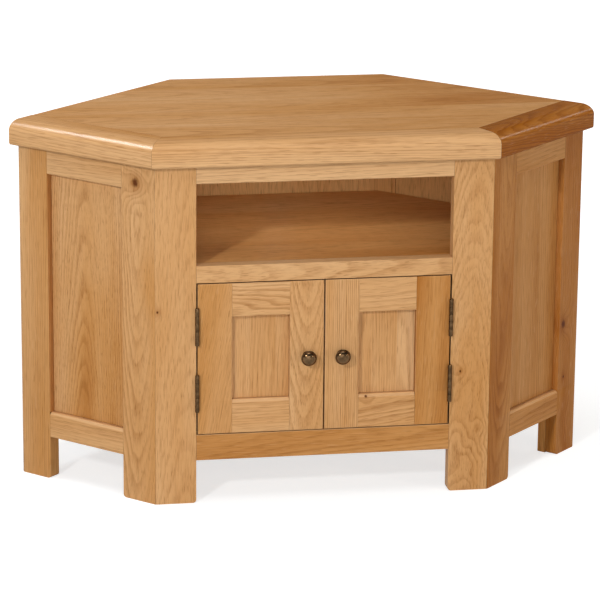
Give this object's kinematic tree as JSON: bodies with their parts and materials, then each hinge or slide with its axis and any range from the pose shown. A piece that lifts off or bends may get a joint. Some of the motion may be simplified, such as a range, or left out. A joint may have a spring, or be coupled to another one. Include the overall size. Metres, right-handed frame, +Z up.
{
  "type": "corner tv cabinet",
  "caption": "Six-sided oak corner cabinet for a television: moulded top, open bay, and a cupboard with two framed doors on butt hinges between full-height legs.",
  "frame": {"origin": "on the floor, in the middle of the width and midway between the knobs' faces and the back edge of the top", "axes": "+X to the right seen from the front, +Y from the doors to the back, +Z up"},
  "size_m": [1, 0.529, 0.615],
  "materials": {
    "oak": "golden oak with open grain under satin lacquer",
    "oak_top": "golden oak with open grain under satin lacquer, a shade darker",
    "oak_inside": "golden oak under thin matt lacquer",
    "aged_brass": "dark antique brass with worn highlights",
    "steel": "zinc-plated steel",
    "catch_body": "brown moulded plastic"
  },
  "bodies": {
    "cabinet": {"top_main_field": "oak_top", "top_front_border": "oak_top", "top_left_border": "oak_top", "top_right_border": "oak_top", "front_left_leg_front_board": "oak", "front_left_leg_side_board": "oak", "rear_left_leg_board": "oak", "rear_left_leg_block": "oak_inside", "back_left_leg": "oak_inside", "front_right_leg_front_board": "oak", "front_right_leg_side_board": "oak", "rear_right_leg_board": "oak", "rear_right_leg_block": "oak_inside", "back_right_leg": "oak_inside", "front_top_rail": "oak", "front_shelf_rail": "oak", "front_bottom_rail": "oak", "left_side_top_rail": "oak", "left_side_bottom_rail": "oak", "left_side_panel": "oak", "right_side_top_rail": "oak", "right_side_bottom_rail": "oak", "right_side_panel": "oak", "left_rear_top_rail": "oak_inside", "left_rear_bottom_rail": "oak_inside", "left_rear_panel": "oak_inside", "back_top_rail": "oak_inside", "back_bottom_rail": "oak_inside", "back_panel": "oak_inside", "right_rear_top_rail": "oak_inside", "right_rear_bottom_rail": "oak_inside", "right_rear_panel": "oak_inside", "shelf_front_board": "oak_inside", "shelf_rear_board": "oak_inside", "left_shelf_cleat": "oak_inside", "right_shelf_cleat": "oak_inside", "cupboard_floor_board": "oak_inside", "magnet_catch": "catch_body", "left_upper_hinge_frame_leaf": "aged_brass", "left_lower_hinge_frame_leaf": "aged_brass", "right_upper_hinge_frame_leaf": "aged_brass", "right_lower_hinge_frame_leaf": "aged_brass"},
    "left_door": {"left_door_hinge_stile": "oak", "left_door_meeting_stile": "oak", "left_door_top_rail": "oak", "left_door_bottom_rail": "oak", "left_door_panel": "oak", "left_knob": "aged_brass", "left_upper_hinge_door_leaf": "aged_brass", "left_lower_hinge_door_leaf": "aged_brass", "left_strike_plate": "steel"},
    "right_door": {"right_door_hinge_stile": "oak", "right_door_meeting_stile": "oak", "right_door_top_rail": "oak", "right_door_bottom_rail": "oak", "right_door_panel": "oak", "right_knob": "aged_brass", "right_upper_hinge_door_leaf": "aged_brass", "right_lower_hinge_door_leaf": "aged_brass", "right_strike_plate": "steel"}
  },
  "joints": [
    {"name": "left_door_hinge", "type": "hinge", "parent": "cabinet", "child": "left_door", "pos_m": [-0.21246, -0.2444, 0.248], "axis": [0, 0, -1], "range_deg": [0, 180]},
    {"name": "right_door_hinge", "type": "hinge", "parent": "cabinet", "child": "right_door", "pos_m": [0.21246, -0.2444, 0.248], "axis": [0, 0, 1], "range_deg": [0, 180]}
  ]
}
